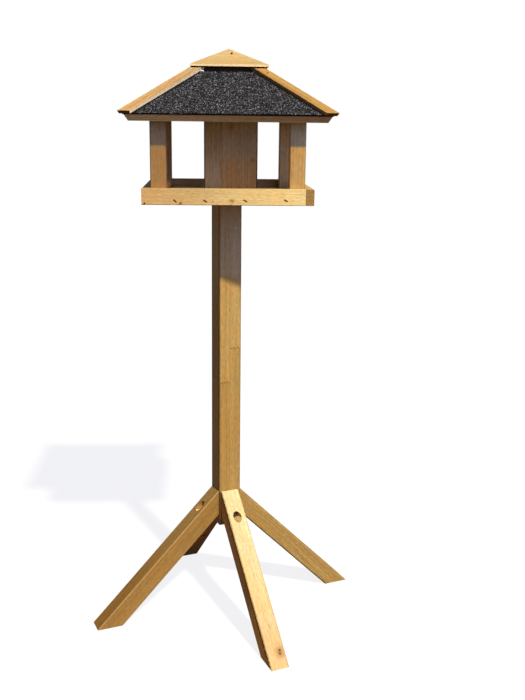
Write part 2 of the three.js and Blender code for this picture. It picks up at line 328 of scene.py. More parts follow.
def add_floor():
    """A floor of 60 metres that looks nearly white and keeps the object's shadow. The light it
    throws up is that of brown ground."""
    half = 30
    mesh = bpy.data.meshes.new("floor")
    corners = [(-half, -half, 0), (half, -half, 0), (half, half, 0), (-half, half, 0)]
    mesh.from_pydata(corners, [], [(0, 1, 2, 3)])
    floor = bpy.data.objects.new("floor", mesh)
    bpy.context.scene.collection.objects.link(floor)
    material, g = new_material("pale_floor")
    seen = seen_ray(g)
    colour = g.mix(seen, (0.14, 0.10, 0.06), (0.92, 0.92, 0.92))
    diffuse = g.node("ShaderNodeBsdfDiffuse", {}, {"Color": colour})
    glow = g.node("ShaderNodeEmission", {}, {"Color": (1, 1, 1, 1), "Strength": 1.0})
    both = g.node("ShaderNodeMixShader", {}, {0: seen * 0.85, 1: diffuse, 2: glow})
    g.node("ShaderNodeOutputMaterial", {}, {"Surface": both})
    mesh.materials.append(material)


# Timber


def toned(tone, *factors):
    """A tone times one factor, or times one for each of its three numbers."""
    factors = factors * 3 if len(factors) == 1 else factors
    return tuple(number * factor for number, factor in zip(tone, factors))


def mark(start, stop, reach, depth, tone=STAIN_AND_SHADE):
    """A mark on the wood: the line it lies on, how far it reaches from it, its strength and tone."""
    return start, stop, reach, depth, tone


def spot(centre, reach, depth, tone=STAIN_AND_SHADE):
    """A round mark."""
    return mark(centre, centre, reach, depth, tone)


def line_distance(g, place, start, stop):
    """Distance in millimetres from the line between two points."""
    start, stop = Vector(start), Vector(stop)
    line = stop - start
    from_start = g.vector("SUBTRACT", place, start)
    share = g.dot(from_start, line) / max(line.length_squared, 1e-6)
    share = g.node("ShaderNodeClamp", {}, {"Value": share})
    return g.measure("DISTANCE", from_start, g.scaled(line, share))


def fade(g, place, axis, start, stop, first, last):
    """A colour that passes from one to another along an axis."""
    return g.mix(g.smooth(g.dot(place, axis), start, stop), first, last)


def knot_distance(g, place, along, centre, axis, radius):
    """Distance from a knot's axis in units of its radius, shorter along the grain."""
    off = g.vector("SUBTRACT", place, centre)
    run = g.dot(off, along) * 0.72
    side = g.dot(off, Vector(axis).cross(along))
    ragged = g.noise(g.scaled(off, 1 / radius), 1.6, 3) * 0.5 + 0.75
    return g.math("SQRT", run * run + side * side) / radius * ragged


def knot_colour(g, colour, distance, strength, tone):
    """A knot: a dark brown eye with its own faint rings, in a warm halo."""
    halo = g.math("EXPONENT", distance * distance * -0.45)
    colour = g.mix(halo * (0.6 * strength), colour, toned(tone, 0.78, 0.58, 0.40))
    ring = g.math("SINE", distance * 15.0) * 0.5 + 0.5
    eye = g.mix(ring, toned(tone, 0.36, 0.24, 0.16), toned(tone, 0.50, 0.34, 0.23))
    return g.mix((1 - g.smooth(distance, 0.10, 1.35)) * strength, colour, eye)


def growth_rings(g, local, knots, grain, waver_size, seed):
    """The late wood of the growth rings, 0 to 1, and the strength of each year. The rings are
    cylinders round the local third axis that waver along it and swell round the knots."""
    waver = g.grain_noise(local, 0.011, 0.0017, 3, 1)
    shift = g.scaled(g.vector("SUBTRACT", waver, (0.5, 0.5, 0.5)), waver_size)
    radius = g.measure("LENGTH", g.vector("MULTIPLY", g.vector("ADD", local, shift), (1, 1, 0)))
    for distance, knot_radius, _ in knots:
        radius = radius + g.math("EXPONENT", distance * distance * -0.35) * (knot_radius * 1.3)
    rings = radius / grain
    phase = g.math("FRACT", rings)
    late = g.smooth(phase, 0.25, 0.93) * (1 - g.smooth(phase, 0.94, 1.0))
    years = {"W": rings * 0.37 + seed, "Detail": 1.0}
    return late, g.node("ShaderNodeTexNoise", {"noise_dimensions": "1D"}, years)


def rounded_bar(g, place, across, point, half_sizes, radius):
    """The normal of a bar whose long edges are rounded by a bump, falling off towards the edge."""
    off = g.vector("SUBTRACT", place, point)
    insets = [half - abs(g.dot(off, axis)) for half, axis in zip(half_sizes, across)]
    fall = g.math("MAXIMUM", radius - g.math("MAXIMUM", *insets), 0.0)
    return g.node("ShaderNodeBump", {}, {"Height": fall * fall * (-0.5 / radius), "Distance": MM})


def timber(name, tone, along, centre, heart, seed, grain=3.0, contrast=1.0, waver_size=26.0,
           knots=(), marks=(), raw_and_shaded_faces=(), end_tone=(0.68, 0.60, 0.50), layout=None, arris=0.75,
           level=None, bar=None, shine=0.05):
    """Planed softwood that grew along a direction, with the tree's heart a distance to the side of
    the piece. The growth rings darken towards their late wood; streaks, fibres, blotches, resin and
    flecks lie along the grain. A layout moves the grain from stave to stave and gives a tint. Knots
    are a centre, an axis, a radius and a strength. Sawn ends are darker and so are eased edges. Faces
    given by their outward directions take a tone of their own, which may pass into another along an
    axis: raw wood on some pieces, painted shade on faces that lie in shade. A bar, given by a point on
    its middle line, its half sizes and a radius, has rounded long edges. Level is a level direction
    square to the grain, worked out if not given."""
    material, g = new_material(name)
    along = Vector(along).normalized()
    level = level or (Vector((1, 0, 0)) if along.z > 0.999 else along.cross(UP).normalized())
    across = (level, along.cross(level))
    place, normal = g.place(), g.normal()
    turn = along.rotation_difference(UP)
    start = Vector((heart[0], heart[1], seed * 731.0)) - turn @ Vector(centre)
    mapping = {"Vector": place, "Location": start, "Rotation": turn.to_euler()}
    local = g.node("ShaderNodeMapping", {}, mapping)
    tint = PLAIN
    if layout:
        local, tint = layout(g, place, local)
    eyes = [(knot_distance(g, place, along, *knot[:3]), *knot[2:]) for knot in knots]
    late, year = growth_rings(g, local, eyes, grain, waver_size, seed)
    streak = g.grain_noise(local, 0.16, 0.0035, 3)
    fibre = g.grain_noise(local, 1.3, 0.035)
    blotch = g.grain_noise(local, 0.02, 0.006)
    mottle = g.grain_noise(local, 0.30, 0.10)
    resin = g.smooth(g.grain_noise(local, 0.13, 0.022), 0.36, 0.64)
    fleck = g.smooth(g.grain_noise(local, 0.8, 0.06, 1), 0.66, 0.74)

    colour = g.mix(late * (year * 1.1 + 0.05) * contrast, toned(tone, 1.14), toned(tone, 0.70, 0.60, 0.50))
    colour = g.mix(g.smooth(blotch, 0.42, 0.72) * 0.6, colour, toned(tone, 0.95, 0.83, 0.66))
    hue = g.mix(resin, (1.04, 0.96, 0.83), (0.965, 1.025, 1.12))
    colour = g.mix(contrast, colour, hue, "MULTIPLY")
    bright = (streak - 0.5) * 0.85 * contrast + (fibre - 0.5) * 0.40
    bright = bright + (blotch - 0.5) * 0.45 + (mottle - 0.5) * 0.60 + 1.0
    colour = g.times(g.scaled(colour, bright * (1 - fleck * 0.28)), tint)
    for distance, _, strength in eyes:
        colour = knot_colour(g, colour, distance, strength, tone)

    end = g.smooth(abs(g.dot(normal, along)), 0.55, 0.68)
    sawn = g.noise(place, 0.42, 3)
    colour = g.mix(end, colour, g.scaled(g.times(colour, end_tone), sawn * 1.4 + 0.3))
    if arris < 1:
        facing = [abs(g.dot(normal, axis)) for axis in across]
        eased = g.smooth(g.math("MINIMUM", *facing), 0.5, 0.6)
        colour = g.scaled(colour, 1 - eased * (1 - arris))
    for direction, face_tone, *passing in raw_and_shaded_faces:
        if passing:
            face_tone = fade(g, place, *passing[:3], face_tone, passing[3])
        face_colour = g.scaled(face_tone, bright * (sawn * 0.3 + 0.85))
        colour = g.mix(g.smooth(g.dot(normal, direction), 0.90, 0.97), colour, face_colour)
    for start, stop, reach, depth, mark_tone in marks:
        mask = 1 - g.smooth(line_distance(g, place, start, stop), reach * 0.55, reach)
        colour = g.mix(mask * depth, colour, mark_tone)

    height = late * 0.5 + fibre * 0.9 + streak * 0.5 - fleck * 0.3 + end * sawn
    relief = {"Height": height, "Distance": 0.0003, "Strength": 0.45}
    if bar:
        relief["Normal"] = rounded_bar(g, place, across, *bar)
    bump = g.node("ShaderNodeBump", {}, relief)
    rough = 0.66 - late * 0.07 + (fibre - 0.5) * 0.2 + end * 0.16
    g.surface({"Base Color": colour, "Roughness": rough, "Specular IOR Level": shine, "Normal": bump})
    return material


def dress(node, material):
    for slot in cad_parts[node].material_slots:
        slot.material = material


def middle_of(node):
    """The middle of a piece's box in the model, in millimetres."""
    low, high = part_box(node)
    return (low + high) / 2 / MM


# Layouts: how a piece is glued up, how its tone drifts, and where painted shade tints it


def fading(axis, start, stop, first, last, within=None):
    """Only a tint, which passes from one colour to another along an axis. Within gives another axis
    and two bounds on it; there is no tint before them."""

    def layout(g, place, local):
        tint = fade(g, place, axis, start, stop, first, last)
        if within:
            tint = fade(g, place, *within, PLAIN, tint)
        return local, tint

    return layout


def glued_post(g, place, local):
    """The post is glued from two halves, each of two lengths with a finger joint, at 588 and 670 mm
    above the ground. The lower lengths are darker. Above them the post's left side, which faces away
    from the light, is darker still and bluer higher up: painted shade. The whole post is greyer and
    bluer above the edge of the tray's shadow: painted shade."""
    glue_place = -1.5
    across, height = g.dot(place, LEGS["right"]), g.dot(place, UP)
    right_half = g.math("GREATER_THAN", across, glue_place)
    finger = abs(g.math("FRACT", across / 9.0) - 0.5) * 8.0 - 2.0
    above = height - (right_half * 82.0 + 588.4) - finger
    lower = g.math("LESS_THAN", above, 0.0)
    lower_shift, right_shift = (17.0, -9.0, 2600.0), (-23.0, 14.0, 900.0)
    shift = g.vector("ADD", g.scaled(lower_shift, lower), g.scaled(right_shift, right_half))

    # Painted shade: bluer above the edge of the tray's shadow, and darker and bluer on the left side
    tint = fade(g, place, UP, 834, 852, PLAIN, (1.03, 1.18, 1.80))
    left_side = 1 - g.smooth(across, -POST_HALF + 0.1, -POST_HALF + 0.5)
    tint = g.mix(left_side, tint, fade(g, place, UP, 730, 880, (0.79, 0.73, 0.72), (0.89, 1.03, 1.60)))
    tint = g.mix(lower, tint, (0.90, 0.85, 0.76))
    tint = g.mix(right_half, tint, (1.04, 1.08, 1.20), "MULTIPLY")

    seam = 1 - g.smooth(abs(above), 0.6, 1.7)
    on_face = g.smooth(abs(g.dot(place, LEGS["front"])), POST_HALF - 0.5, POST_HALF - 0.1)
    broken = g.smooth(g.noise(place, 0.25, 1), 0.30, 0.55)
    glue_tone = g.mix(right_half, (0.55, 0.36, 0.16), (0.30, 0.14, 0.03))
    tint = g.mix(seam * on_face * broken, tint, glue_tone)
    glue = (1 - g.smooth(abs(across - glue_place), 0.2, 0.7)) * 0.25
    return g.vector("ADD", local, shift), g.scaled(tint, 1 - glue)


def staves(width, start, axis):
    """A board glued from staves side by side, each a little lighter or darker than the next."""
    difference = 0.14

    def layout(g, place, local):
        across = (g.dot(place, axis) - start) / width
        number = g.math("FLOOR", across)
        tone = g.node("ShaderNodeTexWhiteNoise", {"noise_dimensions": "1D"}, {"W": number + 0.5})
        from_middle = abs(g.math("FRACT", across) - 0.5)
        glue = g.smooth(from_middle, 0.488, 0.5) * 0.16
        shade = (tone * difference + (1 - difference / 2)) * (1 - glue)
        return g.vector("ADD", local, g.scaled((31.0, 17.0, 811.0), number)), g.scaled(PLAIN, shade)

    return layout


def silo_staves(side, start):
    """The silo's staves change colour with height as painted shade under the roof: those on the left
    are darker near the top and bluer near the foot, the others bluer near the top and warmer near
    the foot."""
    plain = staves(39, start, side)

    def layout(g, place, local):
        moved, tint = plain(g, place, local)
        left = fade(g, place, UP, 1075, 1145, (1.03, 1.15, 1.33), (0.87, 0.92, 0.91))
        right = fade(g, place, UP, 1075, 1145, (1.05, 0.95, 0.76), (0.94, 1.07, 1.28))
        share = g.smooth(g.dot(place, side) - start, -14, 6)
        return moved, g.times(tint, g.mix(share, left, right))

    return layout


# Stand


def on_post(right, front, height):
    """A point by its distances to the right and front of the post's middle line."""
    return LEGS["right"] * right + LEGS["front"] * front + UP * height


def dress_post():
    """The post's long edges are darker than its faces, and there are two dots near its top and a
    painted shadow beside the front leg, on the strip of face that the leg shades."""
    marks = [
        spot(on_post(17.3, POST_HALF, 960.4), 1.8, 0.8),
        spot(on_post(17.3, POST_HALF, 949.4), 1.4, 0.4),
        # Painted shadow of the front leg on the post's front face
        mark(on_post(-25.5, POST_HALF, 223), on_post(-25.5, POST_HALF, 306), 5.0, 0.8),
    ]
    edges = (
        (-POST_HALF, POST_HALF - 6, 6, 0.8, (0.24, 0.085, 0.0146)),
        (-POST_HALF, 3 - POST_HALF, 5.5, 0.75, (0.09, 0.059, 0.017)),
        (POST_HALF - 1, POST_HALF, 2.0, 0.4, (0.20, 0.11, 0.02)),
    )
    for right, front, reach, depth, tone in edges:
        foot, top = on_post(right, front, 230), on_post(right, front, TRAY_HEIGHT)
        marks.append(mark(foot, top, reach, depth, tone))
    bar = ((0, 0, 0), (POST_HALF, POST_HALF), 3)
    dress("post", timber("post_pine", POST_TONE, UP, (0, 0, 620), (62, 48), 1, grain=3.4, contrast=0.7,
                         marks=marks, layout=glued_post, level=LEGS["front"], arris=0.9, bar=bar))


def leg_axes(name):
    """The outward direction of a leg's upper face, and the direction down the leg."""
    return (LEGS[name] + UP).normalized(), (LEGS[name] - UP).normalized()


def on_leg(name, across, down, deep=0.0):
    """A point on a leg: across to its right seen from outside, down from its top, and deep below
    its upper face."""
    face, slope = leg_axes(name)
    top = LEGS[name] * LEG_FACE + UP * LEG_TOP
    return top + UP.cross(LEGS[name]) * across + slope * down - face * deep


def along_leg(name, across, deep, reach, depth, tone=STAIN_AND_SHADE, first=20):
    """A mark along most of a leg's length."""
    return mark(on_leg(name, across, first, deep), on_leg(name, across, 460, deep), reach, depth, tone)


def down_leg(name, first, last):
    """The direction down a leg and two bounds along it, given as distances from its top."""
    slope = leg_axes(name)[1]
    top = on_leg(name, 0, 0).dot(slope)
    return slope, top + first, top + last


def front_leg():
    """Bleached, less so towards the foot, with a knot and its two pits there and a short stroke
    above. The left side is brown, lighter near the foot, with a redder edge."""
    name = "front"
    face, slope = leg_axes(name)
    marks = [mark(on_leg(name, 1.0, 338), on_leg(name, 2.8, 348), 1.7, 0.5, (0.25, 0.14, 0.04))]
    for across, down in ((10.4, 397.5), (8.7, 405.0)):
        marks.append(mark(on_leg(name, across, down), on_leg(name, across, down + 2.2), 2.5, 0.9, RUST_AND_SHADE))
    marks.append(spot(on_leg(name, -20.4, 26.6), 1.6, 0.7))
    marks.append(along_leg(name, -LEG_HALF, 7, 7, 0.8, (0.30, 0.11, 0.008)))
    left_side = UP.cross(-LEGS[name])
    return {
        "knots": [(on_leg(name, 9.8, 402.5), face, 11.5, 0.75)],
        "marks": marks,
        "raw_and_shaded_faces": [(left_side, (0.515, 0.26, 0.055), *down_leg(name, 250, 325), (0.74, 0.36, 0.060))],
        "layout": fading(*down_leg(name, 120.6, 380.6), PLAIN, (0.92, 0.81, 0.75)),
    }


def right_leg():
    """A small knot, and a dark lower edge."""
    return {
        "knots": [(on_leg("right", 4, 330), leg_axes("right")[0], 5.0, 0.9)],
        "marks": [along_leg("right", -LEG_HALF, LEG_SIDE, 3.2, 0.85)],
    }


def rear_leg():
    """A knot, and no shine, since it is deep in shade."""
    return {"knots": [(on_leg("rear", -6, 250), leg_axes("rear")[0], 6.0, 0.9)], "shine": 0.0}


def left_leg():
    """A painted highlight along one edge of the upper face, where its rounding catches the light, and a
    pale strip along the lower edge on the same side. The upper face is greyer at the top and darker at the
    foot.
    """
    face = leg_axes("left")[0]
    level = on_leg("left", 0, 0).dot(face)
    return {
        "marks": [
            # Painted highlight along the rounded edge of the upper face, then a pale strip along the lower
            # edge
            along_leg("left", 20.5, 0, 3.4, 0.5, PALE_EDGE_AND_HIGHLIGHT, first=-5),
            along_leg("left", LEG_HALF, 43.5, 2.2, 0.5, PALE_EDGE_AND_HIGHLIGHT),
        ],
        "layout": fading(*down_leg("left", 60, 400), (1.04, 1.14, 1.40), (0.88, 0.80, 0.73),
                         within=(face, level - 1.0, level - 0.6)),
    }


def dress_legs():
    """The legs, each with looks of its own. The walls of their counterbores are raw wood."""
    looks = {"front": front_leg(), "right": right_leg(), "rear": rear_leg(), "left": left_leg()}
    hearts = {"front": (70, 36), "right": (-58, 44), "rear": (49, -62), "left": (-75, 30)}
    for number, name in enumerate(LEGS):
        rounding = 2.2 if name == "left" else 4.5
        own = {"raw_and_shaded_faces": [(UP, BORE_TONE)], **looks[name]}
        material = timber(f"leg_pine_{name}", LEG_TONES[name], leg_axes(name)[1],
                          middle_of(f"leg_{name}"), hearts[name], number + 3, grain=3.0, contrast=0.6,
                          arris=0.95, bar=(on_leg(name, 0, 200, LEG_HALF), (LEG_HALF, LEG_HALF), rounding),
                          **own)
        dress(f"leg_{name}", material)


# House


def tray_staples():
    """Staple crowns along the lower part of each tray board, as (side, middle, direction, outward)
    groups. They hold the board to the floor's edge."""
    rows = {
        "front": ((-112.5, 8.9, -40), (-48.6, 8.9, -28), (36.0, 9.9, -26), (122.2, 10.8, -28)),
        "right": ((-118, 9.4, 22), (-41, 8.6, 27), (44, 9.9, 20), (120, 9.2, 25)),
        "rear": ((-121, 9.8, -25), (-38, 8.9, -20), (40, 9.3, -27), (109, 8.7, -24)),
        "left": ((-115, 9.1, 24), (-44, 9.9, 28), (37, 8.8, 23), (118, 9.5, 21)),
    }
    found = []
    for name, places in rows.items():
        out = SIDES[name]
        side = UP.cross(out)
        for across, height, tilt in places:
            angle = math.radians(tilt)
            centre = out * TRAY_HALF + side * across + UP * (TRAY_HEIGHT + height)
            found.append((name, centre, side * math.cos(angle) + UP * math.sin(angle), out))
    return found


def board_nails():
    """The nail at the overlapping end of each tray board, as (side, centre, outward) triples."""
    from_middle, height = 176.6, TRAY_HEIGHT + 3.3
    return [(name, out * TRAY_HALF - UP.cross(out) * from_middle + UP * height, out)
            for name, out in SIDES.items()]


def dress_tray():
    """Four boards with rusty marks round their staples and nails, darkest in the staples' slots as
    painted shade, the left one dark on top as painted shade, and the floor of staves."""
    hearts = {"front": (-38, 92), "right": (52, 71), "rear": (44, -83), "left": (-61, 66)}
    shades = {"front": 1.0, "right": 0.96, "rear": 0.72, "left": 0.8}
    knots = {name: [(out * TRAY_HALF + UP.cross(out) * (45 * number - 95) + UP * 1040, out, 4.0, 0.7)]
             for number, (name, out) in enumerate(SIDES.items())}
    front = SIDES["front"]
    knots["front"] = [
        ((-101.0, -TRAY_HALF, 1024.2), front, 3.0, 1.0),
        ((-32.7, -TRAY_HALF, 1027.6), front, 1.6, 0.6),
        ((7.1, -TRAY_HALF, 1030.5), front, 3.6, 0.75),
    ]
    marks = {name: [] for name in SIDES}
    # Rust round each staple, darkest in the slot its crown sinks into: painted shade of that slot
    for name, centre, direction, _ in tray_staples():
        marks[name].append(mark(centre - direction * 3.1, centre + direction * 3.1, 2.2, 0.95, RUST_AND_SHADE))
    for name, centre, _ in board_nails():
        marks[name].append(spot(centre, 2.9, 0.95, RUST_AND_SHADE))
    marks["front"] += [
        mark((5.9, -TRAY_HALF, 1021), (11.8, -TRAY_HALF, 1032.4), 0.8, 0.5),
        mark((-102.6, -TRAY_HALF, 1022.2), (-99.6, -TRAY_HALF, 1026.2), 1.5, 0.6, (0.12, 0.06, 0.014)),
    ]
    for number, (name, out) in enumerate(SIDES.items()):
        side = UP.cross(out)
        # The left board's dark top is painted shade, where the roof and its corner post shade it
        raw_and_shaded_faces = [(UP, (0.09, 0.055, 0.03))] if name == "left" else ()
        material = timber(f"tray_pine_{name}", toned(BOARD_TONE, shades[name]), side,
                          middle_of(f"tray_board_{name}"), hearts[name], number + 11, grain=2.0,
                          contrast=0.45, waver_size=14.0, knots=knots[name], marks=marks[name],
                          layout=fading(side, -150, 170, (0.84, 0.78, 0.76), (1.16, 1.26, 1.36)),
                          end_tone=(0.60, 0.54, 0.42), raw_and_shaded_faces=raw_and_shaded_faces)
        dress(f"tray_board_{name}", material)
    floor = timber("tray_floor_pine", toned(BOARD_TONE, 0.85), (1, 0, 0), middle_of("tray_floor"),
                   (120, 40), 17, grain=3.2, layout=staves(61, 0, (0, 1, 0)))
    dress("tray_floor", floor)


def dress_corner_posts():
    """The corner posts. The front faces of the two front ones are greyer and bluer above the edge of
    the roof's shadow: painted shade."""
    painted_shade_tints = {"front_left": (1.30, 1.70, 2.30), "front_right": (1.045, 1.48, 2.35)}
    hearts = {
        "front_left": (55, 30),
        "front_right": (-34, 62),
        "rear_left": (48, -40),
        "rear_right": (-66, -35),
    }
    front_faces = (SIDES["front"], CORNER_PLACE + 15.3, CORNER_PLACE + 16.8)
    for number, (name, (x, y)) in enumerate(CORNERS.items()):
        layout = None
        if name in painted_shade_tints:
            # Painted shade: the tint starts at the edge of the roof's shadow on the front faces
            layout = fading(UP, 1140.5, 1144.5, PLAIN, painted_shade_tints[name], within=front_faces)
        bar = ((x * CORNER_PLACE, y * CORNER_PLACE, 0), (CORNER_HALF, CORNER_HALF), 2.6)
        material = timber(f"corner_pine_{name}", CORNER_TONES[name], UP,
                          middle_of(f"corner_post_{name}"), hearts[name], number + 21, grain=2.8,
                          contrast=0.6, layout=layout, bar=bar)
        dress(f"corner_post_{name}", material)


def dress_silo():
    """The silo's boards: upright staves, darker down the joints between boards, with painted shade along
    the rim under the cap.
    """
    middle = Vector((SILO_SHIFT, 0, 0))
    for number, (name, out) in enumerate(SIDES.items()):
        side = UP.cross(out)
        knots, marks = [], []
        if name == "front":
            knots.append(((9.5, -SILO_HALF, 1181.6), out, 5.0, 0.5))
            knots.append(((55.9, -SILO_HALF, 1110.3), out, 4.0, 0.4))
        if name in ("front", "rear"):
            for end in (-1, 1):
                foot = middle + (out + side * end) * SILO_HALF
                marks.append(mark(foot + UP * SILO_FOOT, foot + UP * (SILO_TOP - 9), 3.0, 0.85))
        # Painted shade along the top of each board, under the cap's overhang
        rim = middle + out * SILO_HALF + UP * SILO_TOP
        marks.append(mark(rim - side * SILO_HALF, rim + side * SILO_HALF, 20, 0.9))
        material = timber(f"silo_pine_{name}", SILO_TONE, UP, middle_of(f"silo_board_{name}"),
                          (35, 90), number + 31, grain=3.6, contrast=0.55, knots=knots, marks=marks,
                          layout=silo_staves(side, -19.5 + middle.dot(side)))
        dress(f"silo_board_{name}", material)


def dress_panels():
    """The roof panels, each paler towards its left end."""
    for number, (name, out) in enumerate(SIDES.items()):
        side = UP.cross(out)
        material = timber(f"roof_pine_{name}", PANEL_TONE, side, middle_of(f"roof_panel_{name}"),
                          (80, 60), number + 41, grain=3.2, contrast=0.6,
                          layout=fading(side, -170, 60, (1.25, 1.42, 1.38), (0.97, 1.05, 1.0)))
        dress(f"roof_panel_{name}", material)


def flange_edges(x, y):
    """The outward directions of a hip moulding's two inner edges, each in the plane of its slope and
    square to the hip."""
    hip = Vector((x, y, -math.tan(ROOF_PITCH))).normalized()
    found = []
    for face in ((0, y, 0), (x, 0, 0)):
        normal = Vector(face) * math.sin(ROOF_PITCH) + UP * math.cos(ROOF_PITCH)
        edge = hip.cross(normal)
        inward = Vector((x, y, 0)) - Vector(face)
        found.append(edge if edge.dot(inward) < 0 else -edge)
    return found


def slope_height(out_from):
    """The height of the roof panels' upper faces at a distance from the middle."""
    return TRAY_HEIGHT + EAVES_RISE + (EAVES_HALF - out_from) * math.tan(ROOF_PITCH)


def on_moulding(corner, out_from, across_from_hip):
    """A point on the front or rear flange of a hip moulding and that flange's outward direction."""
    x, y = CORNERS[corner]
    face = Vector((0, y * math.sin(ROOF_PITCH), math.cos(ROOF_PITCH)))
    over = 2 * JOINT + FELT_THICKNESS + MOULDING_THICKNESS
    point = Vector((x * (out_from - across_from_hip), y * out_from, slope_height(out_from)))
    return point + face * over, face


def moulding_nails():
    """The nail near the upper end of each hip moulding but one, as (corner, centre, outward) triples."""
    places = {"front_right": (91.1, 5.75), "rear_right": (96, 7), "rear_left": (94, 6)}
    return [(corner, *on_moulding(corner, *place)) for corner, place in places.items()]


def dress_mouldings():
    """The hip mouldings. The inner edges of the left ones face the light and are raw, freshly sawn wood,
    as pale as it goes, partly as painted highlight; those of the right ones face away and are darker,
    as painted shade. The front right one is paler towards its foot. The sawn ends are nearly black:
    end grain with painted shade."""
    for number, (name, (x, y)) in enumerate(CORNERS.items()):
        hip = Vector((x, y, -math.tan(ROOF_PITCH))).normalized()
        # Edge tones follow the light: pale raw wood with painted highlight on the left, painted shade on
        # the right
        raw_and_shaded_edge_tone = RAW_AND_HIGHLIT_TONE if name.endswith("left") else toned(MOULDING_TONE, 0.8)
        marks = [spot(centre, 2.6, 0.8) for owner, centre, _ in moulding_nails() if owner == name]
        layout = None
        if name == "front_right":
            layout = fading(UP, 1200, 1260, (1.10, 1.20, 1.20), PLAIN)
        # The nearly black end tone is end grain with painted shade
        material = timber(f"moulding_pine_{name}", MOULDING_TONES[name], hip,
                          middle_of(f"hip_moulding_{name}"), (48, 55), number + 51, grain=2.4,
                          marks=marks, raw_and_shaded_faces=[(edge, raw_and_shaded_edge_tone) for edge in flange_edges(x, y)],
                          layout=layout, end_tone=(0.14, 0.09, 0.05))
        dress(f"hip_moulding_{name}", material)


def on_cap(x, y):
    """A point on the cap's front slope and that slope's outward direction."""
    slope = (CAP_RISE - CAP_EDGE) / CAP_HALF
    face = Vector((0, -slope, 1)).normalized()
    return Vector((x, y, CAP_BASE + CAP_RISE + y * slope)), face


def dress_cap():
    """The cap, with a raw rim, a dark underside that is painted shade, a rusty mark round its nail, and
    its plug.
    """
    # The rim's faces are raw wood; the near-black underside is painted shade
    rims_and_shaded_underside = [(out, (0.74, 0.54, 0.22)) for out in SIDES.values()] + [(-UP, (0.05, 0.03, 0.02))]
    nail, _ = on_cap(*CAP_NAIL)
    cap = timber("cap_pine", CAP_TONE, (1, 0, 0), middle_of("roof_cap"), (26, 118), 61, grain=2.6,
                 contrast=0.6, marks=[spot(nail, 3.6, 0.9, RUST_AND_SHADE)], raw_and_shaded_faces=rims_and_shaded_underside, arris=1,
                 layout=fading(UP, CAP_BASE + 5, CAP_BASE + 27, (0.90, 0.89, 0.90), (1, 1, 1.05)))
    dress("roof_cap", cap)
    plug = timber("plug_pine", CAP_TONE, (1, 0, 0), middle_of("cap_plug"), (60, 70), 62, grain=3.0)
    dress("cap_plug", plug)


# Felt and steel


def granule_felt():
    """Roofing felt: slate granules, each its own grey, pressed into dark bitumen, which is bare at the
    cut edges. Beside the hip mouldings the felt is dark too: bitumen with the mouldings' painted
    shadow."""
    material, g = new_material("granule_felt")
    place = g.place()
    cells = {"Vector": place, "Scale": 0.58, "Randomness": 1.0}
    chip = g.node("ShaderNodeTexVoronoi", {}, cells, "Color")
    distance = g.node("ShaderNodeTexVoronoi", {}, cells, "Distance")
    grey = g.node("ShaderNodeSeparateColor", {}, {"Color": chip}, "Red")
    tint = g.node("ShaderNodeSeparateColor", {}, {"Color": chip}, "Green")
    clump = g.noise(place, 0.16, 2)
    pick = grey + (clump - 0.5) * 0.30
    stops = [
        (0.0, (0.003, 0.003, 0.0025)),
        (0.32, (0.008, 0.008, 0.007)),
        (0.58, (0.022, 0.022, 0.019)),
        (0.78, (0.060, 0.059, 0.050)),
        (0.92, (0.145, 0.143, 0.122)),
        (1.0, (0.33, 0.325, 0.27)),
    ]
    colour = g.node("ShaderNodeValToRGB", {"stops": stops}, {"Fac": pick})
    colour = g.mix(g.smooth(tint, 0.85, 0.95) * 0.5, colour, (0.055, 0.040, 0.034))
    gap = g.smooth(distance, 0.45, 0.75)
    colour = g.mix(gap * 0.75, colour, (0.006, 0.006, 0.007))
    x, y = (abs(g.dot(place, axis)) for axis in ((1, 0, 0), (0, 1, 0)))
    from_hip = abs(x - y) / math.sqrt(1 + math.cos(ROOF_PITCH) ** 2)
    # Dark strip beside each hip moulding: bitumen and the painted shadow of the moulding's edge
    seam = 1 - g.smooth(from_hip - MOULDING_FLANGE, 2.8, 4.6)
    edge = 1 - g.smooth(g.dot(g.normal(), UP), 0.1, 0.35)
    bitumen = g.math("MAXIMUM", seam * 0.85, edge)
    colour = g.mix(bitumen, colour, (0.005, 0.003, 0.002))
    height = (1 - distance) * (grey * 0.6 + 0.4)
    bump = g.node("ShaderNodeBump", {}, {"Height": height, "Distance": 0.0007, "Strength": 0.8})
    rough = 0.95 - g.smooth(grey, 0.8, 1.0) * 0.35
    g.surface({"Base Color": colour, "Roughness": rough, "Specular IOR Level": 0.05, "Normal": bump})
    return material


def plated_steel():
    """Zinc plate on steel, dark brown-grey as painted shade of the counterbores it sits in: fine cloudy
    grains and dull patches.
    """
    material, g = new_material("plated_steel")
    place = g.place()
    cloud = g.noise(place, 0.35, 4)
    grain = g.noise(place, 2.4, 2)
    colour = g.mix(g.smooth(cloud, 0.4, 0.65), (0.16, 0.125, 0.085), (0.10, 0.078, 0.052))
    rough = 0.30 + cloud * 0.25 + (grain - 0.5) * 0.15
    bump = g.node("ShaderNodeBump", {}, {"Height": grain, "Distance": 0.0001, "Strength": 0.3})
    g.surface({"Base Color": colour, "Metallic": 1.0, "Roughness": rough, "Normal": bump})
    return material


def dark_steel():
    """Uncoated steel of nails and staples, browned in patches."""
    material, g = new_material("dark_steel")
    place = g.place()
    rust = g.smooth(g.noise(place, 0.9, 3), 0.42, 0.62)
    colour = g.mix(rust, (0.045, 0.017, 0.002), (0.070, 0.021, 0.002))
    g.surface({"Base Color": colour, "Roughness": 0.6 + rust * 0.3, "Specular IOR Level": 0.05})
    return material


# New pieces


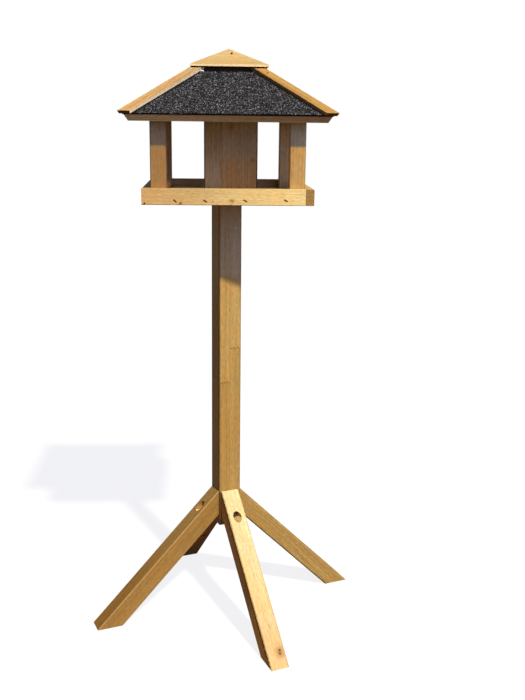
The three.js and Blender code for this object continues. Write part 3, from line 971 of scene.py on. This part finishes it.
def grid_faces(rows, columns, first=0, round_rows=False, round_columns=False):
    """Quads between neighbours of a grid whose points are numbered row by row."""
    last_row = rows if round_rows else rows - 1
    last_column = columns if round_columns else columns - 1
    r, c = np.meshgrid(np.arange(last_row), np.arange(last_column), indexing="ij")
    r, c = r.ravel(), c.ravel()
    r_next, c_next = (r + 1) % rows, (c + 1) % columns
    row, row_next = r * columns, r_next * columns
    quads = np.stack([row + c, row + c_next, row_next + c_next, row_next + c], 1)
    return (quads + first).tolist()


def add_piece(name, points, faces, material, body, smooth=True):
    """A mesh from points in millimetres, riding on a body."""
    mesh = bpy.data.meshes.new(name)
    mesh.from_pydata((np.asarray(points, float) * MM).tolist(), [], faces)
    mesh.materials.append(material)
    mesh.polygons.foreach_set("use_smooth", [smooth] * len(faces))
    mesh.update()
    piece = bpy.data.objects.new(name, mesh)
    bpy.context.scene.collection.objects.link(piece)
    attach(piece, body)
    return piece


def felt_sheet(name, out, seed):
    """Felt on one slope. Across the slope u runs from hip to hip, and v up it. The upper face lies a
    felt's thickness over the panel, raised by a few crossed waves and a random height at each
    granule, both fading out under the hip mouldings; the lower edge curls down a little and is cut
    raggedly, and the lower face is flat. Each column of points is a closed loop, up over the top
    and back underneath."""
    rng = np.random.default_rng(seed)
    columns, rows = 260, 112
    level, rise = math.cos(ROOF_PITCH), math.sin(ROOF_PITCH)
    low_edge = EAVES_HALF + FELT_OVERHANG * level
    high_edge = MOUTH_HALF + PANEL_THICKNESS * rise + FELT_SETBACK * level
    u = np.linspace(-1, 1, columns)
    v = np.linspace(0, 1, rows)
    reach = low_edge + (high_edge - low_edge) * v
    across = u[:, None] * reach[None, :]
    out_from = np.broadcast_to(reach, across.shape)
    from_hip = (reach[None, :] - np.abs(across)) / math.sqrt(2)
    open_area = np.clip((from_hip - 4) / 14, 0, 1)
    waves = 0.35 * np.sin(across / 31 + seed) * np.sin(out_from / 23 + 2 * seed)
    waves = waves + 0.2 * np.sin(across / 12.7 + out_from / 17)
    granules = rng.uniform(-0.22, 0.32, across.shape)
    near_edge = np.exp(-((low_edge - out_from) / 5.0) ** 2)
    curl = -0.9 * near_edge * (0.5 + 0.5 * np.sin(across / 19 + seed))
    top = JOINT + FELT_THICKNESS + open_area * (waves * 0.8 + granules) + curl * open_area * 0.6
    ragged = open_area * rng.normal(0, 0.25, (columns, 1)) * (v[None, :] < 0.5 / rows)

    def placed(across, out_from, over):
        outward = out_from + rise * over
        height = slope_height(out_from) + level * over
        return (across[..., None] * np.array(UP.cross(out)) + outward[..., None] * np.array(out)
                + height[..., None] * np.array(UP))

    upper = placed(across, out_from + ragged, top)
    back = np.linspace(rows - 1, 0, 9).round().astype(int)
    lower = placed(across[:, back], out_from[:, back], np.full((columns, len(back)), JOINT))
    loops = np.concatenate([upper, lower], 1)
    per_loop = loops.shape[1]
    faces = grid_faces(columns, per_loop, round_columns=True)
    first_end = np.arange(per_loop)
    last_end = (columns - 1) * per_loop + first_end[::-1]
    faces += [first_end.tolist(), last_end.tolist()]
    points = loops.reshape(-1, 3)
    piece = add_piece(f"felt_{name}", points, faces, FELT, "house", smooth=False)
    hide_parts(f"roof_felt_{name}")


def add_nail_steel(name, grids, body, **rounds):
    """One piece of nail steel from several grids of points, all of one size."""
    rows, columns, _ = grids[0].shape
    faces = []
    for number in range(len(grids)):
        faces += grid_faces(rows, columns, number * rows * columns, **rounds)
    points = np.concatenate([grid.reshape(-1, 3) for grid in grids])
    return add_piece(name, points, faces, NAIL_STEEL, body)


def nail_heads(name, places, radius, body, proud=0.0):
    """Round heads, each a half profile turned round its own axis: flat in the middle, rounded at
    the rim and sunk a little below the wood, or standing proud of it. places are (centre, axis)
    pairs."""
    out_from = np.array([0, 0.55, 0.86, 1.0, 1.0]) * radius
    height = np.array([0.30 + proud, 0.27 + proud, 0.12 + proud, -0.15 + proud, -1.2])
    angles = np.linspace(0, 2 * math.pi, 14, endpoint=False)
    grids = []
    for centre, axis in places:
        axis = Vector(axis).normalized()
        first = axis.orthogonal().normalized()
        ring = np.cos(angles)[:, None] * np.array(first)
        ring = ring + np.sin(angles)[:, None] * np.array(axis.cross(first))
        grids.append(np.array(centre) + ring[:, None, :] * out_from[None, :, None]
                     + np.array(axis) * height[None, :, None])
    return add_nail_steel(name, grids, body, round_rows=True)


def staple_crowns(name, places, body):
    """Staples: a flattened round wire carried along a path that comes out of the wood, runs along
    the surface and goes back in. places are (centre, direction, outward) triples."""
    half, bend_radius, sunk, leg_depth = 3.7, 0.9, 0.3, 3.0
    wire, flat_wire = 0.55, 0.44
    bend = np.linspace(math.pi / 2, 0, 5)
    arc_run = -half + bend_radius * (1 - np.sin(bend))
    arc_height = -bend_radius * (1 - np.cos(bend)) - sunk
    left = np.concatenate([[[-half, -leg_depth]], np.stack([arc_run, arc_height], 1)])
    line = np.concatenate([left, (left * [-1, 1])[::-1]])
    angles = np.linspace(0, 2 * math.pi, 8, endpoint=False)
    grids = []
    for centre, direction, outward in places:
        run, out = np.array(Vector(direction).normalized()), np.array(outward)
        side = np.cross(run, out)
        path = np.array(centre) + line[:, :1] * run + line[:, 1:] * out
        tangent = np.gradient(path, axis=0)
        tangent /= np.linalg.norm(tangent, axis=1, keepdims=True)
        raised = np.cross(side, tangent)
        grids.append(path[:, None, :] + flat_wire * np.sin(angles)[None, :, None] * raised[:, None, :]
                     + wire * np.cos(angles)[None, :, None] * side)
    return add_nail_steel(name, grids, body, round_columns=True)


light_world()
add_sun()
add_camera()
add_floor()
FELT = granule_felt()
ZINC = plated_steel()
NAIL_STEEL = dark_steel()
dress_post()
dress_legs()
dress_tray()
dress_corner_posts()
dress_silo()
dress_panels()
dress_mouldings()
dress_cap()
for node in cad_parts:
    if "screw" in node or "washer" in node:
        dress(node, ZINC)
for number, (name, out) in enumerate(SIDES.items()):
    felt_sheet(name, out, number + 1)
staple_crowns("tray_staples", [staple[1:] for staple in tray_staples()], "house")
nail_heads("tray_nails", [nail[1:] for nail in board_nails()], 1.7, "house")
nail_heads("moulding_nails", [nail[1:] for nail in moulding_nails()], 1.8, "house")
nail_heads("cap_nail", [on_cap(*CAP_NAIL)], 2.0, "cap", proud=3.0)

bpy.context.scene.view_settings.view_transform = "Standard"
